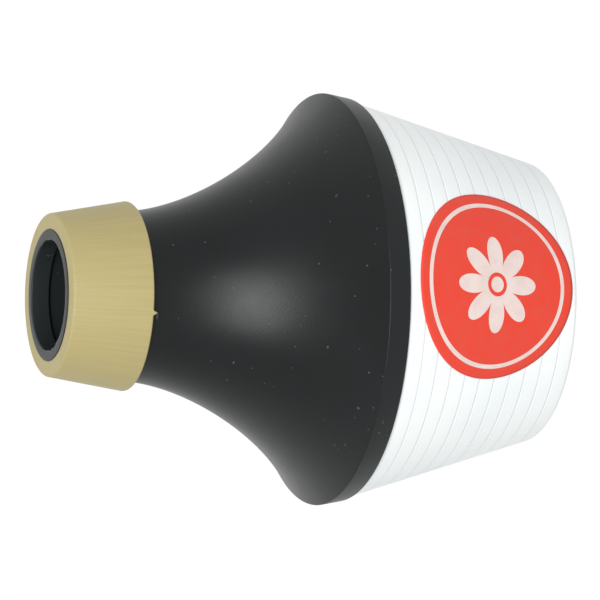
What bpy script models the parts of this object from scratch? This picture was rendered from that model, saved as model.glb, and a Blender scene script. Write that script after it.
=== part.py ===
# Trumpet wah-wah mute, standing on its base end with the neck up.
# Metres, +Z up. The origin is the centre of the rest plane, and the label faces -Y.
# Every piece but the label is turned about Z from an outline of (radius, height, fillet) corners.
import math

import bmesh
import bpy
from mathutils import Vector
from mathutils.geometry import interpolate_bezier

# Fits and fineness
FIT_GAP = 0.0003  # between pieces that are pushed or glued together
RING_GAP = 0.00015  # round a rubber ring, to its groove and to the tube
SLIDE_GAP = 0.00045  # between the tube and the bush's bore
MERGE_DISTANCE = 0.000001
SHELL_SEGMENTS = 48
SMALL_SEGMENTS = 32
CORD_SIDES = 8
FLARE_STEPS = 11
BOWL_STEPS = 5
FILLET_STEPS = 2
FILLET_SHARE = 0.45  # the most of an edge that one fillet may take
SHARP_ANGLE = math.radians(40)

# Black shell: neck, flare and rim band
TOTAL_HEIGHT = 0.1373
MOUTH_RADIUS = 0.01765
BORE_RADIUS = 0.01495
LIP_DEPTH = 0.0051
SHELL_WALL = 0.0026
NECK_RADIUS = 0.02286  # where the neck leaves the sealing ring
FLARE_START_ANGLE = math.radians(2.9)
FLARE_START_REACH = 0.0166
FLARE_END_ANGLE = math.radians(55.75)
FLARE_END_REACH = 0.0236
RIM_RADIUS = 0.056
RIM_HEIGHT = 0.06082
BAND_HEIGHT = 0.00614
BAND_DRAFT = 0.0011
EDGE_FILLET = 0.0004

# Gold sealing ring
SEAL_FRONT_RADIUS = 0.02184
SEAL_REAR_RADIUS = 0.02554
SEAL_LENGTH = 0.02134
SEAL_SETBACK = 0.0002
SEAL_FILLET = 0.0006

# White base: tapered cup with a dished end
BASE_TOP_RADIUS = 0.05434
BASE_END_RADIUS = 0.03816
BASE_WALL = 0.0024
BASE_END_FILLET = 0.0018
SPIGOT_HEIGHT = 0.005
SPIGOT_STEP = 0.0023
SPIGOT_WALL = 0.0022
DISH_MOUTH_RADIUS = 0.029
DISH_FLOOR_RADIUS = 0.023
DISH_DEPTH = 0.0155
DISH_FILLET = 0.0015

# Round label on the white cone
LABEL_RADIUS = 0.02585
LABEL_HEIGHT = 0.02665
LABEL_THICKNESS = 0.00025
LABEL_SPOKES = 32
LABEL_RINGS = 3

# Stem: tube and bowl
TUBE_RADIUS = 0.00635
TUBE_WALL = 0.0009
TUBE_LENGTH = 0.0805
TUBE_FLARE_RADIUS = 0.0083
CUP_RADIUS = 0.020
CUP_HUB_RADIUS = 0.0095
CUP_WALL = 0.001
CUP_RIM_HEIGHT = 0.0006

# Bush that guides the stem
BUSH_RADIUS = 0.010
BUSH_LENGTH = 0.0155  # above the dish's floor
BUSH_FLANGE_RADIUS = 0.0135
BUSH_FLANGE_THICKNESS = 0.0018
LOCK_RING_RADIUS = 0.0138
LOCK_RING_HEIGHT = 0.0025
CORD_RADIUS = 0.001  # of the rubber rings
OUTER_RING_HEIGHT = 0.0035  # above the dish's floor
INNER_RING_HEIGHT = 0.0115

# Sizes that follow from the ones above
SEAL_TOP = TOTAL_HEIGHT - SEAL_SETBACK
SEAL_BOTTOM = SEAL_TOP - SEAL_LENGTH
BASE_HEIGHT = RIM_HEIGHT - BAND_HEIGHT
SPIGOT_TOP = BASE_HEIGHT + SPIGOT_HEIGHT
SPIGOT_RADIUS = BASE_TOP_RADIUS - SPIGOT_STEP
BUSH_TOP = DISH_DEPTH + BUSH_LENGTH
BUSH_BOTTOM = DISH_DEPTH - BUSH_FLANGE_THICKNESS
CUP_TOP = BUSH_BOTTOM - FIT_GAP
CUP_FLOOR = CUP_TOP - CUP_WALL
CORD_CENTRE_RADIUS = TUBE_RADIUS + RING_GAP + CORD_RADIUS


def clear_scene():
    for piece in list(bpy.data.objects):
        bpy.data.objects.remove(piece)


def plastic(name, colour, roughness, metallic=0.0):
    material = bpy.data.materials.new(name)
    material.use_nodes = True
    shader = material.node_tree.nodes["Principled BSDF"]
    shader.inputs["Base Color"].default_value = (*colour, 1)
    shader.inputs["Roughness"].default_value = roughness
    shader.inputs["Metallic"].default_value = metallic
    return material


def rounded(corners):
    # Each corner with a fillet radius becomes an arc that touches both of its edges.
    points = []
    for i, (radius, height, fillet) in enumerate(corners):
        here = Vector((radius, height))
        if fillet == 0:
            points.append(here)
            continue
        back = Vector(corners[i - 1][:2]) - here
        ahead = Vector(corners[(i + 1) % len(corners)][:2]) - here
        half = back.angle(ahead) / 2
        reach = min(fillet / math.tan(half), FILLET_SHARE * min(back.length, ahead.length))
        first = here + back.normalized() * reach
        last = here + ahead.normalized() * reach
        inward = (back.normalized() + ahead.normalized()).normalized()
        centre = here + inward * (reach / math.cos(half))
        for step in range(FILLET_STEPS + 1):
            spoke = first.lerp(last, step / FILLET_STEPS) - centre
            points.append(centre + spoke.normalized() * (first - centre).length)
    return points


def inset(path, wall):
    # The path moved by the wall's thickness to its right-hand side, without its two end points.
    moved = []
    for before, here, after in zip(path, path[1:], path[2:]):
        arriving = (here - before).normalized()
        leaving = (after - here).normalized()
        first = Vector((arriving.y, -arriving.x))
        second = Vector((leaving.y, -leaving.x))
        moved.append(here + (first + second) * wall / (1 + first.dot(second)))
    return moved


def place(name, shape, material):
    mesh = bpy.data.meshes.new(name)
    shape.to_mesh(mesh)
    shape.free()
    mesh.materials.append(material)
    mesh.shade_smooth()
    mesh.set_sharp_from_angle(angle=SHARP_ANGLE)
    piece = bpy.data.objects.new(name, mesh)
    bpy.context.scene.collection.objects.link(piece)
    return piece


def turned(name, corners, material, segments):
    # The outline runs down the outer side and back up the inner side.
    shape = bmesh.new()
    ring = [shape.verts.new((point.x, 0, point.y)) for point in rounded(corners)]
    edges = [shape.edges.new((ring[i - 1], ring[i])) for i in range(len(ring))]
    bmesh.ops.spin(
        shape, geom=ring + edges, axis=(0, 0, 1), cent=(0, 0, 0),
        steps=segments, angle=math.tau, use_merge=True,
    )
    bmesh.ops.remove_doubles(shape, verts=shape.verts, dist=MERGE_DISTANCE)
    bmesh.ops.recalc_face_normals(shape, faces=shape.faces)
    return place(name, shape, material)


def flare_curve():
    # From the neck behind the sealing ring to the rim, nearly parallel at first and steep at the end.
    neck = Vector((NECK_RADIUS, SEAL_BOTTOM, 0))
    rim = Vector((RIM_RADIUS, RIM_HEIGHT, 0))
    leaving = Vector((math.sin(FLARE_START_ANGLE), -math.cos(FLARE_START_ANGLE), 0))
    arriving = Vector((math.sin(FLARE_END_ANGLE), -math.cos(FLARE_END_ANGLE), 0))
    curve = interpolate_bezier(
        neck, neck + leaving * FLARE_START_REACH, rim - arriving * FLARE_END_REACH, rim, FLARE_STEPS,
    )
    return [point.to_2d() for point in curve]


def body_shell(material):
    flare = flare_curve()
    mouth = Vector((MOUTH_RADIUS, TOTAL_HEIGHT))
    band_foot = Vector((RIM_RADIUS - BAND_DRAFT, BASE_HEIGHT))
    skirt_radius = SPIGOT_RADIUS + FIT_GAP
    inner = [point for point in inset([mouth, *flare, band_foot], SHELL_WALL) if point.x < skirt_radius]
    neck_share = LIP_DEPTH / (TOTAL_HEIGHT - SEAL_BOTTOM)
    behind_lip = mouth.lerp(flare[0], neck_share).x - SHELL_WALL
    lip_height = TOTAL_HEIGHT - LIP_DEPTH
    corners = [(*mouth, EDGE_FILLET)]
    corners += [(*point, 0) for point in flare[:-1]]
    corners += [(*flare[-1], EDGE_FILLET), (*band_foot, EDGE_FILLET), (skirt_radius, BASE_HEIGHT, 0)]
    corners += [(skirt_radius, SPIGOT_TOP + FIT_GAP, 0)]
    corners += [(*point, 0) for point in reversed(inner)]
    corners += [(behind_lip, lip_height, 0), (BORE_RADIUS, lip_height, EDGE_FILLET)]
    corners += [(BORE_RADIUS, TOTAL_HEIGHT, EDGE_FILLET)]
    return turned("body_shell", corners, material, SHELL_SEGMENTS)


def sealing_ring(material):
    slope = (NECK_RADIUS - MOUTH_RADIUS) / (TOTAL_HEIGHT - SEAL_BOTTOM)
    corners = [
        (SEAL_FRONT_RADIUS, SEAL_TOP, SEAL_FILLET),
        (SEAL_REAR_RADIUS, SEAL_BOTTOM, SEAL_FILLET),
        (NECK_RADIUS + FIT_GAP, SEAL_BOTTOM, 0),
        (MOUTH_RADIUS + slope * SEAL_SETBACK + FIT_GAP, SEAL_TOP, 0),
    ]
    return turned("sealing_ring", corners, material, SHELL_SEGMENTS)


def base_shell(material):
    shoulder = Vector((BASE_TOP_RADIUS, BASE_HEIGHT))
    edge = Vector((BASE_END_RADIUS, 0))
    dish_mouth = Vector((DISH_MOUTH_RADIUS, 0))
    dish_floor = Vector((DISH_FLOOR_RADIUS, DISH_DEPTH))
    hole_radius = BUSH_RADIUS + FIT_GAP
    hole = Vector((hole_radius, DISH_DEPTH))
    inner_edge, inner_mouth, inner_floor = inset([shoulder, edge, dish_mouth, dish_floor, hole], BASE_WALL)
    slope = (BASE_TOP_RADIUS - BASE_END_RADIUS) / BASE_HEIGHT
    spigot_bore = SPIGOT_RADIUS - SPIGOT_WALL
    spigot_foot = inner_edge.y + (spigot_bore - inner_edge.x) / slope
    corners = [
        (SPIGOT_RADIUS, SPIGOT_TOP, EDGE_FILLET),
        (SPIGOT_RADIUS, BASE_HEIGHT, 0),
        (*shoulder, EDGE_FILLET),
        (*edge, BASE_END_FILLET),
        (*dish_mouth, DISH_FILLET),
        (*dish_floor, DISH_FILLET),
        (*hole, 0),
        (hole_radius, DISH_DEPTH + BASE_WALL, 0),
        (*inner_floor, 0),
        (*inner_mouth, 0),
        (*inner_edge, 0),
        (spigot_bore, spigot_foot, 0),
        (spigot_bore, SPIGOT_TOP, 0),
    ]
    return turned("base_shell", corners, material, SHELL_SEGMENTS)


def on_cone(across, up, lift):
    # A point of the flat label, rolled onto the white cone and lifted off it.
    taper = math.atan((BASE_TOP_RADIUS - BASE_END_RADIUS) / BASE_HEIGHT)
    centre_radius = BASE_END_RADIUS + LABEL_HEIGHT * math.tan(taper)
    centre_slant = centre_radius / math.sin(taper)
    slant = math.hypot(across, centre_slant + up)
    turn = math.atan2(across, centre_slant + up) / math.sin(taper)
    radius = slant * math.sin(taper) + lift * math.cos(taper)
    height = LABEL_HEIGHT + (slant - centre_slant) * math.cos(taper) - lift * math.sin(taper)
    return radius * math.sin(turn), -radius * math.cos(turn), height


def base_label(material):
    shape = bmesh.new()
    middle = shape.verts.new(on_cone(0, 0, FIT_GAP))
    inner = None
    for ring in range(1, LABEL_RINGS + 1):
        reach = LABEL_RADIUS * ring / LABEL_RINGS
        turns = [math.tau * spoke / LABEL_SPOKES for spoke in range(LABEL_SPOKES)]
        outer = [shape.verts.new(on_cone(reach * math.cos(t), reach * math.sin(t), FIT_GAP)) for t in turns]
        for i in range(LABEL_SPOKES):
            if inner is None:
                shape.faces.new((middle, outer[i - 1], outer[i]))
            else:
                shape.faces.new((inner[i - 1], outer[i - 1], outer[i], inner[i]))
        inner = outer
    piece = place("base_label", shape, material)
    solidify = piece.modifiers.new("thickness", "SOLIDIFY")
    solidify.thickness = LABEL_THICKNESS
    solidify.offset = 1
    return piece


def ring_groove(height):
    # The four corners of a rubber ring's groove, seen going up the bush's bore.
    bore = TUBE_RADIUS + SLIDE_GAP
    floor = CORD_CENTRE_RADIUS + CORD_RADIUS + RING_GAP
    half = CORD_RADIUS + RING_GAP
    low = DISH_DEPTH + height - half
    high = DISH_DEPTH + height + half
    return [(bore, low, 0), (floor, low, 0), (floor, high, 0), (bore, high, 0)]


def stem_bush(material):
    bore = TUBE_RADIUS + SLIDE_GAP
    corners = [
        (BUSH_RADIUS, BUSH_TOP, EDGE_FILLET),
        (BUSH_RADIUS, DISH_DEPTH, 0),
        (BUSH_FLANGE_RADIUS, DISH_DEPTH, 0),
        (BUSH_FLANGE_RADIUS, BUSH_BOTTOM, EDGE_FILLET),
        (bore, BUSH_BOTTOM, EDGE_FILLET),
        *ring_groove(OUTER_RING_HEIGHT),
        *ring_groove(INNER_RING_HEIGHT),
        (bore, BUSH_TOP, EDGE_FILLET),
    ]
    return turned("stem_bush", corners, material, SMALL_SEGMENTS)


def bush_lock_ring(material):
    low = DISH_DEPTH + BASE_WALL
    high = low + LOCK_RING_HEIGHT
    bore = BUSH_RADIUS + FIT_GAP
    corners = [
        (LOCK_RING_RADIUS, high, EDGE_FILLET),
        (LOCK_RING_RADIUS, low, 0),
        (bore, low, 0),
        (bore, high, 0),
    ]
    return turned("bush_lock_ring", corners, material, SMALL_SEGMENTS)


def friction_ring(name, height, material):
    turns = [-math.tau * side / CORD_SIDES for side in range(CORD_SIDES)]
    corners = [
        (
            CORD_CENTRE_RADIUS + CORD_RADIUS * math.cos(turn),
            DISH_DEPTH + height + CORD_RADIUS * math.sin(turn),
            0,
        )
        for turn in turns
    ]
    return turned(name, corners, material, SMALL_SEGMENTS)


def stem_tube(material):
    flare_bottom = CUP_FLOOR - TUBE_WALL
    top = flare_bottom + TUBE_LENGTH
    bore = TUBE_RADIUS - TUBE_WALL
    corners = [
        (TUBE_RADIUS, top, 0),
        (TUBE_RADIUS, CUP_FLOOR, 0),
        (TUBE_FLARE_RADIUS, CUP_FLOOR, 0),
        (TUBE_FLARE_RADIUS, flare_bottom, 0),
        (bore, flare_bottom, EDGE_FILLET),
        (bore, top, 0),
    ]
    return turned("stem_tube", corners, material, SMALL_SEGMENTS)


def stem_cup(material):
    corners = [(CUP_HUB_RADIUS, CUP_TOP, 0)]
    turns = [math.pi / 2 * step / BOWL_STEPS for step in range(1, BOWL_STEPS + 1)]
    reach = CUP_RADIUS - CUP_HUB_RADIUS
    for turn in turns:
        height = CUP_RIM_HEIGHT + (CUP_TOP - CUP_RIM_HEIGHT) * math.cos(turn)
        corners.append((CUP_HUB_RADIUS + reach * math.sin(turn), height, 0))
    for turn in reversed(turns):
        height = CUP_RIM_HEIGHT + (CUP_FLOOR - CUP_RIM_HEIGHT) * math.cos(turn)
        corners.append((CUP_HUB_RADIUS + (reach - CUP_WALL) * math.sin(turn), height, 0))
    hole = TUBE_RADIUS + FIT_GAP
    corners += [(CUP_HUB_RADIUS, CUP_FLOOR, 0), (hole, CUP_FLOOR, 0), (hole, CUP_TOP, 0)]
    return turned("stem_cup", corners, material, SMALL_SEGMENTS)


def main():
    clear_scene()
    body_shell(plastic("black_shell", (0.022, 0.025, 0.026), 0.35))
    sealing_ring(plastic("gold_rubber", (0.45, 0.38, 0.17), 0.5))
    base_shell(plastic("white_shell", (0.84, 0.86, 0.86), 0.4))
    base_label(plastic("red_label", (0.8, 0.09, 0.055), 0.4))
    stem_bush(plastic("black_bush", (0.03, 0.03, 0.032), 0.45))
    bush_lock_ring(plastic("black_ring", (0.03, 0.03, 0.032), 0.5))
    rubber = plastic("ring_rubber", (0.015, 0.015, 0.015), 0.7)
    friction_ring("friction_ring_outer", OUTER_RING_HEIGHT, rubber)
    friction_ring("friction_ring_inner", INNER_RING_HEIGHT, rubber)
    aluminium = plastic("spun_aluminium", (0.86, 0.87, 0.88), 0.3, 1.0)
    stem_tube(aluminium)
    stem_cup(aluminium)


main()
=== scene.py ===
import math

import bmesh
import bpy
from mathutils import Matrix, Vector, noise
from mathutils.geometry import interpolate_bezier


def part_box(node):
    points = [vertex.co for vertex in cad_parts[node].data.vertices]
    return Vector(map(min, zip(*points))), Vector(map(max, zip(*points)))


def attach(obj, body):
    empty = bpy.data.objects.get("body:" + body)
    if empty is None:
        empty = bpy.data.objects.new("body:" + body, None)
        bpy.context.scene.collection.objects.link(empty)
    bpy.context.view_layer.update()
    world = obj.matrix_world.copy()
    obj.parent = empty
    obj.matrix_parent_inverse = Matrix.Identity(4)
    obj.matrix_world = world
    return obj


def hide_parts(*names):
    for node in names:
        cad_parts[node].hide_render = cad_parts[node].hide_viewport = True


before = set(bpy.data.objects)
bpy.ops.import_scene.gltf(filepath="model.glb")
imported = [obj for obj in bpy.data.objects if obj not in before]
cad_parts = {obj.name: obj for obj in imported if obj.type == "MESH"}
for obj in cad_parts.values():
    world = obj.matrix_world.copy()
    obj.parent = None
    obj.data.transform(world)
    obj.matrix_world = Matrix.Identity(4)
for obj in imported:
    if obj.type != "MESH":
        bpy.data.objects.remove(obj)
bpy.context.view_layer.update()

print("tools")
lathe = {
    "steps": 288,              # round the large pieces
    "fineSteps": 576,          # round the sealing ring
    "smallSteps": 128,
    "arcSteps": 5,             # in each rounded corner
    "arcShare": 0.45,          # the most of an edge that one corner may take
    "sharpAngle": 50,
}


class Wire:
    # A socket that maths can be written with.
    def __init__(self, maker, socket):
        self.maker = maker
        self.socket = socket

    def math(self, operation, *others):
        return self.maker.node("ShaderNodeMath", {"operation": operation}, self, *others)

    def __add__(self, other):
        return self.math("ADD", other)

    def __sub__(self, other):
        return self.math("SUBTRACT", other)

    def __mul__(self, other):
        return self.math("MULTIPLY", other)

    def __truediv__(self, other):
        return self.math("DIVIDE", other)

    def reflected(self, operation, other):
        return self.maker.node("ShaderNodeMath", {"operation": operation}, other, self)

    def __rsub__(self, other):
        return self.reflected("SUBTRACT", other)

    def __rtruediv__(self, other):
        return self.reflected("DIVIDE", other)

    __radd__ = __add__
    __rmul__ = __mul__


class NodeMaker:
    # Adds nodes to the tree of a material or of the world.
    def __init__(self, owner):
        owner.use_nodes = True
        self.tree = owner.node_tree

    def node(self, kind, settings, *values, out=0, **named):
        made = self.tree.nodes.new(kind)
        for key, value in settings.items():
            setattr(made, key, value)
        for place, value in [*enumerate(values), *named.items()]:
            self.feed(made.inputs[place], value)
        return Wire(self, made.outputs[out])

    def feed(self, socket, value):
        if isinstance(value, Wire):
            self.tree.links.new(value.socket, socket)
        else:
            socket.default_value = value

    def seen(self):
        # 1 for what the camera sees, straight or in gloss or glass.
        rays = self.node("ShaderNodeLightPath", {}, out="Is Camera Ray")
        outputs = rays.socket.node.outputs
        mirrored = rays.math("MAXIMUM", Wire(self, outputs["Is Glossy Ray"]))
        return mirrored.math("MAXIMUM", Wire(self, outputs["Is Transmission Ray"]))


class Finish(NodeMaker):
    # A material round one Principled shader.
    def __init__(self, name):
        self.material = bpy.data.materials.new(name)
        super().__init__(self.material)
        self.shader = self.tree.nodes["Principled BSDF"]

    def surface(self, values):
        for name, value in values.items():
            self.feed(self.shader.inputs[name], value)

    def place(self):
        return self.node("ShaderNodeTexCoord", {}, out="Object")     # metres in the part's own frame

    def axes(self, vector):
        split = self.node("ShaderNodeSeparateXYZ", {}, vector)
        return [Wire(self, output) for output in split.socket.node.outputs]

    def vector(self, x, y, z=0.0):
        return self.node("ShaderNodeCombineXYZ", {}, x, y, z)

    def stretch(self, vector, scales):
        return self.node("ShaderNodeVectorMath", {"operation": "MULTIPLY"}, vector, scales)

    def noise(self, place, scale, detail=2.0, rough=0.5):
        return self.node(
            "ShaderNodeTexNoise", {}, Vector=place, Scale=scale, Detail=detail, Roughness=rough,
        )

    def ramp(self, amount, low, high):
        # 0 below low, 1 above high, smooth between them.
        return self.node(
            "ShaderNodeMapRange", {"interpolation_type": "SMOOTHSTEP"}, amount, low, high, 0.0, 1.0,
        )

    def blend(self, amount, first, second):
        # Between two colours, each a wire or a screen's 0 to 255.
        mixed = self.node("ShaderNodeMix", {"data_type": "RGBA", "clamp_factor": True}, amount, out=2)
        for socket, value in zip(mixed.socket.node.inputs[6:8], (first, second)):
            self.feed(socket, value if isinstance(value, Wire) else shaderColour(value))
        return mixed

    def bump(self, height, depth):
        return self.node("ShaderNodeBump", {}, Height=height, Distance=depth)


def shaderColour(screenColour):
    def linear(value):
        value /= 255
        return value / 12.92 if value <= 0.04045 else ((value + 0.055) / 1.055) ** 2.4
    return *map(linear, screenColour), 1.0


def arcsAt(corners):
    # Each corner with a radius becomes an arc that touches both of its edges.
    points = []
    for i, (radius, height, size) in enumerate(corners):
        here = Vector((radius, height))
        if size == 0:
            points.append(here)
            continue
        back = Vector(corners[i - 1][:2]) - here
        ahead = Vector(corners[(i + 1) % len(corners)][:2]) - here
        half = back.angle(ahead) / 2
        reach = min(size / math.tan(half), lathe["arcShare"] * min(back.length, ahead.length))
        first = here + back.normalized() * reach
        last = here + ahead.normalized() * reach
        centre = here + (back.normalized() + ahead.normalized()).normalized() * (reach / math.cos(half))
        for step in range(lathe["arcSteps"] + 1):
            spoke = first.lerp(last, step / lathe["arcSteps"]) - centre
            points.append(centre + spoke.normalized() * (first - centre).length)
    return points


def insetPath(path, wall):
    # The path moved to its right-hand side, without its two end points.
    moved = []
    for before, here, after in zip(path, path[1:], path[2:]):
        arriving = (here - before).normalized()
        leaving = (after - here).normalized()
        first = Vector((arriving.y, -arriving.x))
        second = Vector((leaving.y, -leaving.x))
        moved.append(here + (first + second) * wall / (1 + first.dot(second)))
    return moved


def addPiece(name, shape, *materials):
    mesh = bpy.data.meshes.new(name)
    shape.to_mesh(mesh)
    shape.free()
    for material in materials:
        mesh.materials.append(material)
    mesh.shade_smooth()
    piece = bpy.data.objects.new(name, mesh)
    bpy.context.scene.collection.objects.link(piece)
    return piece


def turnPiece(name, corners, material, steps, shift=None):
    # corners are (radius, height, rounding), and shift moves a point where the piece isn't quite round.
    outline = arcsAt(corners)
    shape = bmesh.new()
    rings = []
    for step in range(steps):
        turn = math.tau * step / steps
        ring = []
        for point in outline:
            radius, height = shift(point, turn) if shift else point
            ring.append(shape.verts.new((radius * math.cos(turn), radius * math.sin(turn), height)))
        rings.append(ring)
    for one, two in zip(rings, rings[1:] + rings[:1]):
        for i in range(len(outline)):
            shape.faces.new((one[i - 1], one[i], two[i], two[i - 1]))
    bmesh.ops.recalc_face_normals(shape, faces=shape.faces)
    piece = addPiece(name, shape, material)
    piece.data.set_sharp_from_angle(angle=math.radians(lathe["sharpAngle"]))
    return piece


def awayFrom(place, turn):
    # Degrees round the axis between a turn and a place counted from -Y towards +X.
    difference = turn - math.radians(place - 90)
    return abs(math.degrees((difference + math.pi) % math.tau - math.pi))


def directionTo(azimuth, elevation):
    # Degrees from -Y towards +X, and degrees up.
    turn = math.radians(azimuth)
    rise = math.radians(elevation)
    return Vector((math.sin(turn) * math.cos(rise), -math.cos(turn) * math.cos(rise), math.sin(rise)))


print("camera")
# The mute stands on its base end, and the camera is rolled so that its neck points left.
view = {
    "aimHeight": 0.06562,      # the point on the axis that lies at the picture's middle
    "aimDrop": 0.00029,
    "distance": 1.456,
    "azimuth": -5.8,           # from -Y towards +X
    "elevation": 20.174,
    "roll": -89.115,
    "focalPixels": 5363.7,
    "pictureWidth": 600,
    "sensor": 36.0,
    "clip": (0.05, 20),
}


def addCamera():
    data = bpy.data.cameras.new("camera")
    data.sensor_width = view["sensor"]
    data.lens = view["focalPixels"] / view["pictureWidth"] * view["sensor"]
    data.clip_start, data.clip_end = view["clip"]
    camera = bpy.data.objects.new("camera", data)
    bpy.context.scene.collection.objects.link(camera)
    back = directionTo(view["azimuth"], view["elevation"])
    level = (-back).to_track_quat("-Z", "Y").to_matrix().to_4x4()
    facing = level @ Matrix.Rotation(math.radians(view["roll"]), 4, "Z")
    up = facing.col[1].to_3d()
    middle = Vector((0, 0, view["aimHeight"])) - up * view["aimDrop"]
    camera.matrix_world = Matrix.Translation(middle + back * view["distance"]) @ facing
    bpy.context.scene.camera = camera


addCamera()

print("body shell")
body = {
    "mouthRadius": 0.01765,
    "boreRadius": 0.01495,
    "lipDepth": 0.0051,
    "wall": 0.0026,
    "neckRadius": 0.02286,
    "flareStart": (2.9, 0.0166),         # angle in degrees, reach of the curve's handle
    "flareEnd": (55.75, 0.0236),
    "flareSteps": 40,
    "rimRadius": 0.056,
    "bandHeight": 0.00614,
    "bandDraft": 0.0011,
    "edge": 0.00035,
    "flashSize": 0.0006,                 # trimmed moulding flash inside the mouth
    "flashDepth": 0.002,
    "flashPlaces": (90, -78),            # degrees from -Y towards +X
    "flashSpread": 26,
    "ragScales": (9, 27, 900),           # coarse and fine round the mouth, and down it
    "ragLevel": 0.25,                    # higher leaves fewer gaps in the flash
    "ragFine": 0.6,                      # the fine part's share of the coarse one
    "ragSlice": 3,                       # where in the noise the fine part is cut
}
blackLook = {
    "dark": (4, 8, 9),
    "pale": (9, 14, 15),
    # painted light: the band below the rim is painted lighter, standing in for how the light falls on its
    # face
    "rim": (19, 23, 24),
    # painted light: faces that look inwards, in the bore and under the flare, are painted much lighter,
    # standing in for the light seen inside the mute
    "insidePaintedLight": (40, 44, 45),
    "dust": (110, 116, 118),
    "rimPaintedLightShare": 0.8,                     # how much of each colour shows in its own place
    "insidePaintedLightShare": 0.9,
    "dustShare": 0.3,
    "rimBlend": 0.0001,
    "inwardRange": (-0.004, -0.001),     # radius in metres, times how far outwards the face looks
    "cloudScale": 38.0,
    "cloudRange": (0.3, 0.7),            # closer limits make harder patches
    "speckScale": 900.0,
    "speckRange": (0.83, 0.85),          # higher leaves fewer specks
    "rubScales": (160.0, 160.0, 22.0),   # long along the axis
    "grainScale": 2600.0,
    "grainDepth": 0.00002,
    "roughness": 0.3,
    "rimRoughness": 0.05,                # what each adds
    "cloudRoughness": 0.05,
    "rubRoughness": 0.06,
    "speckRoughness": 0.2,
    "specular": 0.25,
}
base = {
    "topRadius": 0.05434,
    "endRadius": 0.03816,
    "wall": 0.0024,
    "shoulderEdge": 0.0003,
    "endRounding": 0.0018,
    "spigotHeight": 0.005,
    "spigotStep": 0.0023,
    "spigotWall": 0.0022,
    "spigotEdge": 0.0004,
    "dishMouth": 0.029,
    "dishFloor": 0.023,
    "dishRounding": 0.0015,
    "holeRadius": 0.0103,
    "holeEdge": 0.0003,
    "innerRounding": 0.001,
}
gap = 0.0003                             # between pieces that are glued or pushed together
bandFoot, mouthHeight = (corner.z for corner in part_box("body_shell"))
sealBottom, sealTop = (corner.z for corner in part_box("sealing_ring"))
rimHeight = bandFoot + body["bandHeight"]
spigotRadius = base["topRadius"] - base["spigotStep"]


def flareCurve():
    ends = []
    for angle, reach in (body["flareStart"], body["flareEnd"]):
        turn = math.radians(angle)
        ends.append(Vector((math.sin(turn), -math.cos(turn), 0)) * reach)
    neck = Vector((body["neckRadius"], sealBottom, 0))
    rim = Vector((body["rimRadius"], rimHeight, 0))
    curve = interpolate_bezier(neck, neck + ends[0], rim - ends[1], rim, body["flareSteps"])
    return [point.to_2d() for point in curve]


def bodyCorners():
    flare = flareCurve()
    mouth = Vector((body["mouthRadius"], mouthHeight))
    foot = Vector((body["rimRadius"] - body["bandDraft"], bandFoot))
    skirt = spigotRadius + gap
    inner = [p for p in insetPath([mouth, *flare, foot], body["wall"]) if p.x < skirt]
    lipHeight = mouthHeight - body["lipDepth"]
    lipShare = body["lipDepth"] / (mouthHeight - sealBottom)
    behindLip = mouth.lerp(flare[0], lipShare).x - body["wall"]
    corners = [(*mouth, body["edge"])]
    corners += [(*p, 0) for p in flare[:-1]]
    corners += [(*flare[-1], body["edge"]), (*foot, body["edge"]), (skirt, bandFoot, 0)]
    corners += [(skirt, bandFoot + base["spigotHeight"] + gap, 0)]
    corners += [(*p, 0) for p in reversed(inner)]
    corners += [(behindLip, lipHeight, 0), (body["boreRadius"], lipHeight, body["edge"])]
    corners += [(body["boreRadius"], mouthHeight, body["edge"])]
    return corners


def mouthFlash(point, turn):
    # Small ragged bits of flash stand into the bore at two places of its edge.
    if point.x > body["boreRadius"] + body["flashSize"] or point.y < mouthHeight - body["flashDepth"]:
        return point
    amount = 0
    for place in body["flashPlaces"]:
        amount += max(0, 1 - (awayFrom(place, turn) / body["flashSpread"]) ** 2)
    coarse, fine, down = body["ragScales"]
    rag = noise.noise(Vector((math.cos(turn) * coarse, math.sin(turn) * coarse, point.y * down)))
    finePlace = Vector((math.cos(turn) * fine, math.sin(turn) * fine, body["ragSlice"]))
    rag += body["ragFine"] * noise.noise(finePlace)
    return Vector((point.x - body["flashSize"] * amount * max(0, body["ragLevel"] + rag), point.y))


def blackPlasticFinish(name, look):
    made = Finish(name)
    place = made.place()
    x, y, z = made.axes(place)
    normalX, normalY = made.axes(made.node("ShaderNodeNewGeometry", {}, out="Normal"))[:2]
    cloud = made.ramp(made.noise(place, look["cloudScale"], detail=4.0), *look["cloudRange"])
    specks = made.ramp(made.noise(place, look["speckScale"], detail=0.0), *look["speckRange"])
    rubs = made.noise(made.stretch(place, look["rubScales"]), 1.0, detail=3.0)
    grain = made.noise(place, look["grainScale"])
    onRim = 1 - made.ramp(z, rimHeight - look["rimBlend"], rimHeight + look["rimBlend"])
    inward = 1 - made.ramp(normalX * x + normalY * y, *look["inwardRange"])
    skin = made.blend(cloud, look["dark"], look["pale"])
    # painted light: the band is painted lighter here, standing in for how light falls on it; its added
    # roughness below is the real finish
    skin = made.blend(onRim * look["rimPaintedLightShare"], skin, look["rim"])
    # painted light: inward faces painted lighter, standing in for light inside the mute
    skin = made.blend(inward * look["insidePaintedLightShare"], skin, look["insidePaintedLight"])
    skin = made.blend(specks * look["dustShare"], skin, look["dust"])
    roughness = look["roughness"] + onRim * look["rimRoughness"] + cloud * look["cloudRoughness"]
    roughness = roughness + rubs * look["rubRoughness"] + specks * look["speckRoughness"]
    made.surface({
        "Base Color": skin,
        "Roughness": roughness,
        "Specular IOR Level": look["specular"],
        "Normal": made.bump(grain, look["grainDepth"]),
    })
    return made.material


blackPlastic = blackPlasticFinish("blackPlastic", blackLook)
bodySkin = turnPiece("bodySkin", bodyCorners(), blackPlastic, lathe["steps"], mouthFlash)
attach(bodySkin, "mute")
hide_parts("body_shell")

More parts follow.
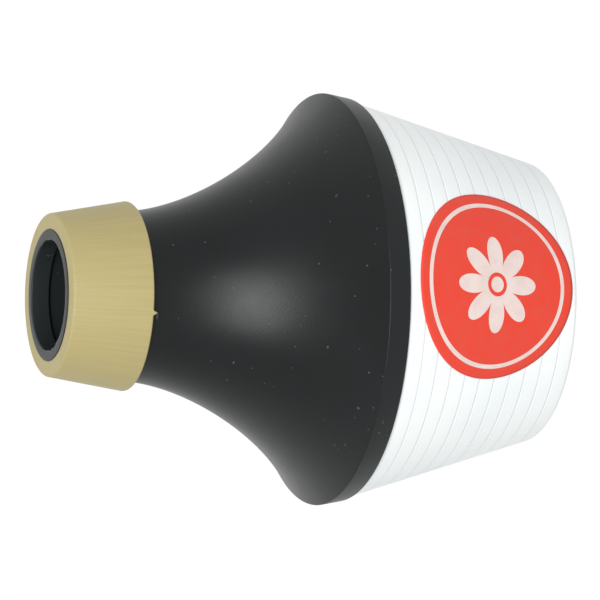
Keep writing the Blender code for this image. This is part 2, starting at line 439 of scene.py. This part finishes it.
print("sealing ring")
seal = {
    "frontRadius": 0.02184,
    "rearRadius": 0.02554,
    "setback": 0.0002,
    "frontRounding": 0.0007,
    "rearRounding": 0.00042,
    "neckGap": 0.00004,
    "tabLength": 0.0012,       # a tab of moulding flash on the rear edge
    "tabPlace": -15.6,         # degrees from -Y towards +X
    "tabSpread": 0.9,
    "tabWidth": 0.0012,        # how far in from the rear edge it starts
    "tabHeight": 0.0007,       # and how far up the ring it reaches
}
goldLook = {
    "shade": (160, 147, 98),
    "light": (165, 153, 104),
    "streak": (171, 160, 114),
    "drawnScales": (42.0, 30.0),         # round the ring, along it
    "drawnRange": (0.32, 0.7),
    "hairScales": (260.0, 90.0),
    "hairRange": (0.58, 0.75),           # higher leaves fewer hairlines
    "hairShare": 0.35,
    "hairHeight": 0.2,
    "cloudScale": 120.0,
    "grainScale": 2200.0,
    "grainHeight": 0.5,
    "grainDepth": 0.00001,
    "roughness": 0.43,
    "cloudRoughness": 0.1,
    "hairRoughness": -0.05,
    "specular": 0.45,
}


def sealCorners():
    neckSlope = (body["neckRadius"] - body["mouthRadius"]) / (mouthHeight - sealBottom)
    neckAtTop = body["mouthRadius"] + neckSlope * seal["setback"]
    return [
        (seal["frontRadius"], sealTop, seal["frontRounding"]),
        (seal["rearRadius"], sealBottom, seal["rearRounding"]),
        (body["neckRadius"] + seal["neckGap"], sealBottom, 0),
        (neckAtTop + seal["neckGap"], sealTop, 0),
    ]


def sealTab(point, turn):
    if point.x < seal["rearRadius"] - seal["tabWidth"] or point.y > sealBottom + seal["tabHeight"]:
        return point
    away = awayFrom(seal["tabPlace"], turn) / seal["tabSpread"]
    return Vector((point.x, point.y - seal["tabLength"] * math.exp(-away * away)))


def goldRubberFinish(look):
    made = Finish("goldRubber")
    place = made.place()
    x, y, z = made.axes(place)
    turn = y.math("ARCTAN2", x)
    drawn, hairs = [made.vector(turn * a, z * b) for a, b in (look["drawnScales"], look["hairScales"])]
    streaks = made.ramp(made.noise(drawn, 1.0, detail=3.0, rough=0.6), *look["drawnRange"])
    hair = made.ramp(made.noise(hairs, 1.0, detail=1.0), *look["hairRange"])
    cloud = made.noise(place, look["cloudScale"], detail=3.0)
    grain = made.noise(place, look["grainScale"])
    skin = made.blend(streaks, look["shade"], look["light"])
    relief = grain * look["grainHeight"] + hair * look["hairHeight"]
    made.surface({
        "Base Color": made.blend(hair * look["hairShare"], skin, look["streak"]),
        "Roughness": look["roughness"] + cloud * look["cloudRoughness"] + hair * look["hairRoughness"],
        "Specular IOR Level": look["specular"],
        "Normal": made.bump(relief, look["grainDepth"]),
    })
    return made.material


sealSkin = turnPiece("sealSkin", sealCorners(), goldRubberFinish(goldLook), lathe["fineSteps"], sealTab)
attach(sealSkin, "mute")
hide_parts("sealing_ring")

print("white base")
groove = {
    "count": 10,
    "first": 0.00535,          # from the black band's edge down
    "pitch": 0.00492,
    "width": 0.0008,
    "depth": 0.00016,
    "edge": 0.0001,
    "shadeWidths": (0.35, 1),  # of the width, where the painted groove shade ends
    "stopPitches": (0.5, 0.3), # below the last groove, where the painted shade lines end
}
whiteLook = {
    "white": (241, 245, 244),
    "cool": (234, 239, 240),
    # painted shade: a darker colour at each groove's height, standing in for the shade in the grooves
    "groove": (214, 216, 221),
    "grooveShadeShare": 0.4,
    "cloudScale": 30.0,
    "cloudRange": (0.35, 0.7),
    "grainScale": 1500.0,
    "grainDepth": 0.00001,
    "roughness": 0.36,
    "cloudRoughness": 0.08,
    "specular": 0.4,
}
flangeThickness = 0.0018       # of the bush, whose flange lies under the dish's floor
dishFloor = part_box("stem_bush")[0].z + flangeThickness
slope = (base["topRadius"] - base["endRadius"]) / bandFoot
grooveHeights = [bandFoot - groove["first"] - i * groove["pitch"] for i in range(groove["count"])]


def coneRadius(height):
    return base["endRadius"] + slope * height


def baseCorners():
    shoulder = Vector((base["topRadius"], bandFoot))
    edge = Vector((base["endRadius"], 0))
    mouth = Vector((base["dishMouth"], 0))
    floor = Vector((base["dishFloor"], dishFloor))
    hole = Vector((base["holeRadius"], dishFloor))
    innerEdge, innerMouth, innerFloor = insetPath([shoulder, edge, mouth, floor, hole], base["wall"])
    bore = spigotRadius - base["spigotWall"]
    boreFoot = innerEdge.y + (bore - innerEdge.x) / slope
    spigotTop = bandFoot + base["spigotHeight"]
    half = groove["width"] / 2
    corners = [(spigotRadius, spigotTop, base["spigotEdge"]), (spigotRadius, bandFoot, 0)]
    corners += [(*shoulder, base["shoulderEdge"])]
    for height in grooveHeights:
        corners += [(coneRadius(height + half), height + half, groove["edge"])]
        corners += [(coneRadius(height) - groove["depth"], height, groove["edge"])]
        corners += [(coneRadius(height - half), height - half, groove["edge"])]
    corners += [(*edge, base["endRounding"]), (*mouth, base["dishRounding"]), (*floor, base["dishRounding"])]
    corners += [(*hole, base["holeEdge"]), (base["holeRadius"], dishFloor + base["wall"], 0)]
    corners += [(*inner, base["innerRounding"]) for inner in (innerFloor, innerMouth, innerEdge)]
    corners += [(bore, boreFoot, 0), (bore, spigotTop, 0)]
    return corners


def whitePlasticFinish(look):
    made = Finish("whitePlastic")
    place = made.place()
    z = made.axes(place)[2]
    cloud = made.ramp(made.noise(place, look["cloudScale"], detail=3.0), *look["cloudRange"])
    grain = made.noise(place, look["grainScale"])
    # painted shade: darker lines set by height alone, standing in for the shade in the grooves; they fall on
    # every face at these heights
    cycle = ((z - grooveHeights[0]) / groove["pitch"] + 0.5).math("FRACT") - 0.5
    near, far = [share * groove["width"] / groove["pitch"] for share in groove["shadeWidths"]]
    grooveShadeLine = 1 - made.ramp(cycle.math("ABSOLUTE"), near, far)
    below, above = [grooveHeights[-1] - share * groove["pitch"] for share in groove["stopPitches"]]
    shade = grooveShadeLine * made.ramp(z, below, above) * look["grooveShadeShare"]
    skin = made.blend(cloud, look["white"], look["cool"])
    made.surface({
        "Base Color": made.blend(shade, skin, look["groove"]),
        "Roughness": look["roughness"] + cloud * look["cloudRoughness"],
        "Specular IOR Level": look["specular"],
        "Normal": made.bump(grain, look["grainDepth"]),
    })
    return made.material


baseSkin = turnPiece("baseSkin", baseCorners(), whitePlasticFinish(whiteLook), lathe["steps"])
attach(baseSkin, "mute")
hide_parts("base_shell")

print("label")
label = {
    "radius": 0.02585,
    "height": 0.02665,
    "lift": 0.00006,
    "thickness": 0.0001,
    "spokes": 384,
    "step": 0.0012,            # largest step between rings
    "ringRadius": 0.0223,      # middle of the pale ring
    "ringWidth": 0.0012,
    "petals": 8,
    "petalFoot": 0.0052,
    "petalReach": 0.0078,
    "petalPower": 0.8,         # lower makes the petals blunter
    "eyeRadius": 0.0021,
    "eyeGap": 0.0011,
}
printLook = {
    "red": ((222, 62, 42), (218, 68, 50)),
    "pale": ((226, 208, 202), (219, 199, 193)),
    "mottleScale": 260.0,
    "mottleRange": (0.35, 0.7),
    "fibreScale": 1400.0,
    "fibreDepth": 0.00001,
    "roughness": 0.42,
    "fibreRoughness": 0.1,
    "specular": 0.35,
}


def onCone(across, up):
    # A point of the flat label, rolled onto the white cone and lifted off it.
    taper = math.atan(slope)
    centreSlant = coneRadius(label["height"]) / math.sin(taper)
    slant = math.hypot(across, centreSlant + up)
    turn = math.atan2(across, centreSlant + up) / math.sin(taper)
    radius = slant * math.sin(taper) + label["lift"] * math.cos(taper)
    height = label["height"] + (slant - centreSlant) * math.cos(taper) - label["lift"] * math.sin(taper)
    return radius * math.sin(turn), -radius * math.cos(turn), height


def petalEdge(turn):
    wave = abs(math.cos(turn * label["petals"] / 2))
    return label["petalFoot"] + label["petalReach"] * wave ** label["petalPower"]


def labelBands(turns):
    # From the middle out, the radius of each band's edge at each turn, and 1 where the band is pale.
    halfRing = label["ringWidth"] / 2
    rounds = [
        (label["eyeRadius"], 1),
        (label["eyeRadius"] + label["eyeGap"], 0),
        (label["ringRadius"] - halfRing, 0),
        (label["ringRadius"] + halfRing, 1),
        (label["radius"], 0),
    ]
    bands = [([radius] * len(turns), pale) for radius, pale in rounds]
    bands.insert(2, ([petalEdge(turn) for turn in turns], 1))
    return bands


def labelShape():
    shape = bmesh.new()
    turns = [math.tau * i / label["spokes"] for i in range(label["spokes"])]
    middle = shape.verts.new(onCone(0, 0))
    inner = [0.0] * len(turns)
    lastRing = None
    for outer, pale in labelBands(turns):
        count = max(1, math.ceil((max(outer) - min(inner)) / label["step"]))
        for step in range(1, count + 1):
            reach = [a + (b - a) * step / count for a, b in zip(inner, outer)]
            ring = [shape.verts.new(onCone(r * math.cos(t), r * math.sin(t))) for r, t in zip(reach, turns)]
            for i in range(len(turns)):
                if lastRing:
                    face = shape.faces.new((lastRing[i - 1], ring[i - 1], ring[i], lastRing[i]))
                else:
                    face = shape.faces.new((middle, ring[i - 1], ring[i]))
                face.material_index = pale
            lastRing = ring
        inner = outer
    return shape


def printFinish(name, look, inks):
    made = Finish(name)
    place = made.place()
    mottle = made.ramp(made.noise(place, look["mottleScale"], detail=3.0), *look["mottleRange"])
    fibres = made.noise(place, look["fibreScale"], detail=1.0)
    made.surface({
        "Base Color": made.blend(mottle, *inks),
        "Roughness": look["roughness"] + fibres * look["fibreRoughness"],
        "Specular IOR Level": look["specular"],
        "Normal": made.bump(fibres, look["fibreDepth"]),
    })
    return made.material


redPrint = printFinish("redPrint", printLook, printLook["red"])
palePrint = printFinish("palePrint", printLook, printLook["pale"])
labelFilm = addPiece("labelFilm", labelShape(), redPrint, palePrint)
film = labelFilm.modifiers.new("film", "SOLIDIFY")
film.thickness = label["thickness"]
film.offset = 1
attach(labelFilm, "mute")
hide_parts("base_label")

print("bush and rings")
bush = {
    "radius": 0.010,
    "length": 0.0155,
    "topEdge": 0.0004,
    "flangeRadius": 0.0135,
    "flangeEdge": 0.0006,
    "bore": 0.0068,
    "boreEdge": 0.0005,
    "ringHeights": (0.0035, 0.0115),
    "grooveRadius": 0.00865,
    "grooveHalf": 0.00115,
    "grainDepth": 0.00004,
}
rubberLook = {
    "dark": (20, 20, 20),
    "pale": (38, 37, 36),
    "cloudScale": 700.0,
    "roughness": 0.6,
    "cloudRoughness": 0.2,
}


def bushCorners():
    bottom = dishFloor - flangeThickness
    top = dishFloor + bush["length"]
    corners = [(bush["radius"], top, bush["topEdge"]), (bush["radius"], dishFloor, 0)]
    corners += [(bush["flangeRadius"], dishFloor, 0), (bush["flangeRadius"], bottom, bush["flangeEdge"])]
    corners += [(bush["bore"], bottom, bush["boreEdge"])]
    for height in bush["ringHeights"]:
        low = dishFloor + height - bush["grooveHalf"]
        high = dishFloor + height + bush["grooveHalf"]
        corners += [(bush["bore"], low, 0), (bush["grooveRadius"], low, 0)]
        corners += [(bush["grooveRadius"], high, 0), (bush["bore"], high, 0)]
    corners += [(bush["bore"], top, bush["topEdge"])]
    return corners


def ringRubberFinish(look):
    made = Finish("ringRubber")
    cloud = made.noise(made.place(), look["cloudScale"], detail=3.0)
    made.surface({
        "Base Color": made.blend(cloud, look["dark"], look["pale"]),
        "Roughness": look["roughness"] + cloud * look["cloudRoughness"],
    })
    return made.material


bushPlastic = blackPlasticFinish("bushPlastic", {**blackLook, "grainDepth": bush["grainDepth"]})
bushSkin = turnPiece("bushSkin", bushCorners(), bushPlastic, lathe["smallSteps"])
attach(bushSkin, "mute")
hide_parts("stem_bush")

ringRubber = ringRubberFinish(rubberLook)
for node, finish in (
    ("bush_lock_ring", bushPlastic),
    ("friction_ring_outer", ringRubber),
    ("friction_ring_inner", ringRubber),
):
    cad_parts[node].data.materials.clear()
    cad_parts[node].data.materials.append(finish)

print("stem")
tube = {
    "radius": 0.00635,
    "wall": 0.0009,
    "flareRadius": 0.0083,
    "edge": 0.0004,
    "mouthEdge": 0.0008,
}
cup = {
    "radius": 0.020,
    "hubRadius": 0.0095,
    "holeEdge": 0.0003,
    "wall": 0.001,
    "bowlSteps": 24,
    "beadRadius": 0.0009,      # of the rolled rim
    "beadTurn": (80, -172),    # where it starts and ends, in degrees
    "beadSteps": 12,
    "rimHeight": 0.0006,
}
metalLook = {
    "metal": (222, 223, 225),
    "worn": (203, 205, 208),
    "ringScale": 5200.0,       # of the fine rings left by spinning
    "ringDepth": 0.000015,
    "cloudScale": 90.0,
    "roughness": 0.24,
    "ringRoughness": 0.12,
    "cloudRoughness": 0.05,
}


def tubeCorners():
    low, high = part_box("stem_tube")
    collar = low.z + tube["wall"]
    bore = tube["radius"] - tube["wall"]
    return [
        (tube["radius"], high.z, tube["edge"]),
        (tube["radius"], collar, 0),
        (tube["flareRadius"], collar, 0),
        (tube["flareRadius"], low.z, tube["edge"]),
        (bore, low.z, tube["mouthEdge"]),
        (bore, high.z, tube["edge"]),
    ]


def cupCorners():
    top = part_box("stem_cup")[1].z
    floor = top - cup["wall"]
    hub = cup["hubRadius"]
    hole = tube["radius"] + gap
    beadCentre = cup["radius"] - cup["beadRadius"]
    beadHeight = cup["rimHeight"] + cup["beadRadius"]
    reach = beadCentre - hub
    start, end = cup["beadTurn"]
    turns = [math.pi / 2 * step / cup["bowlSteps"] for step in range(1, cup["bowlSteps"])]
    corners = [(hub, top, 0)]
    for turn in turns:
        corners.append((hub + reach * math.sin(turn), beadHeight + (top - beadHeight) * math.cos(turn), 0))
    for step in range(cup["beadSteps"] + 1):
        turn = math.radians(start + (end - start) * step / cup["beadSteps"])
        radius = beadCentre + cup["beadRadius"] * math.cos(turn)
        corners.append((radius, beadHeight + cup["beadRadius"] * math.sin(turn), 0))
    for turn in reversed(turns[:-2]):     # the bead stands in the place of the last two
        radius = hub + (reach - cup["wall"]) * math.sin(turn)
        corners.append((radius, beadHeight + (floor - beadHeight) * math.cos(turn), 0))
    corners += [(hub, floor, 0), (hole, floor, 0), (hole, top, cup["holeEdge"])]
    return corners


def spunMetalFinish(look):
    made = Finish("spunAluminium")
    place = made.place()
    x, y, z = made.axes(place)
    reach = (x * x + y * y).math("SQRT")
    rings = made.noise(made.vector(reach * look["ringScale"], z * look["ringScale"]), 1.0)
    cloud = made.noise(place, look["cloudScale"], detail=3.0)
    made.surface({
        "Base Color": made.blend(cloud, look["metal"], look["worn"]),
        "Metallic": 1.0,
        "Roughness": look["roughness"] + rings * look["ringRoughness"] + cloud * look["cloudRoughness"],
        "Normal": made.bump(rings, look["ringDepth"]),
    })
    return made.material


spunMetal = spunMetalFinish(metalLook)
tubeSkin = turnPiece("tubeSkin", tubeCorners(), spunMetal, lathe["smallSteps"])
cupSkin = turnPiece("cupSkin", cupCorners(), spunMetal, lathe["steps"])
for piece, node in ((tubeSkin, "stem_tube"), (cupSkin, "stem_cup")):
    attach(piece, "stem")
    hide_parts(node)

print("floor and light")
light = {
    "ambient": 0.75,
    "keyPower": 14.5,
    "keyWidth": 1.3,
    "keyHeight": 0.2,
    "keyDistance": 1.3,
    "keyElevation": 36,
    "keyAzimuth": -10,         # from -Y towards +X
    "floorRadius": 6,
    "floorSides": 96,
    "floorGrey": 0.4,
    "floorGlow": 0.7,
    "floorDrop": 0.0001,
    "floorClear": 0.8,         # how much passes it from above, so that a pulled stem shows
}


def floorFinish():
    made = Finish("floorPaint")
    grey = light["floorGrey"]
    made.surface({"Base Color": (grey, grey, grey, 1), "Roughness": 1.0, "Specular IOR Level": 0.0})
    plain = Wire(made, made.shader.outputs[0])
    glow = made.node("ShaderNodeEmission", {}, Strength=light["floorGlow"])
    lit = made.node("ShaderNodeAddShader", {}, plain, glow)
    paint = made.node("ShaderNodeMixShader", {}, made.seen(), plain, lit)
    below = made.node("ShaderNodeNewGeometry", {}, out="Backfacing")
    clear = made.node("ShaderNodeBsdfTransparent", {})
    veil = made.node("ShaderNodeMixShader", {}, below.math("MAXIMUM", light["floorClear"]), paint, clear)
    made.feed(made.tree.nodes["Material Output"].inputs["Surface"], veil)
    return made.material


def addFloor():
    shape = bmesh.new()
    bmesh.ops.create_circle(
        shape, cap_ends=True, segments=light["floorSides"], radius=light["floorRadius"],
    )
    floor = addPiece("floor", shape, floorFinish())
    floor.location.z = -light["floorDrop"]


def addWorld():
    # White where it is seen, and the plain level of the room in all other light.
    world = bpy.data.worlds.new("studio")
    bpy.context.scene.world = world
    made = NodeMaker(world)
    background = made.tree.nodes["Background"]
    made.feed(background.inputs["Color"], (1, 1, 1, 1))
    made.feed(background.inputs["Strength"], made.seen() * (1 - light["ambient"]) + light["ambient"])


def addKeyLight():
    data = bpy.data.lights.new("keyLight", "AREA")
    data.shape = "ELLIPSE"
    data.size = light["keyWidth"]
    data.size_y = light["keyHeight"]
    data.energy = light["keyPower"]
    lamp = bpy.data.objects.new("keyLight", data)
    back = directionTo(light["keyAzimuth"], light["keyElevation"])
    lamp.location = Vector((0, 0, view["aimHeight"])) + back * light["keyDistance"]
    lamp.rotation_mode = "QUATERNION"
    lamp.rotation_quaternion = (-back).to_track_quat("-Z", "Y")
    bpy.context.scene.collection.objects.link(lamp)


addFloor()
addWorld()
addKeyLight()
bpy.context.scene.view_settings.view_transform = "Standard"

print("sizes")
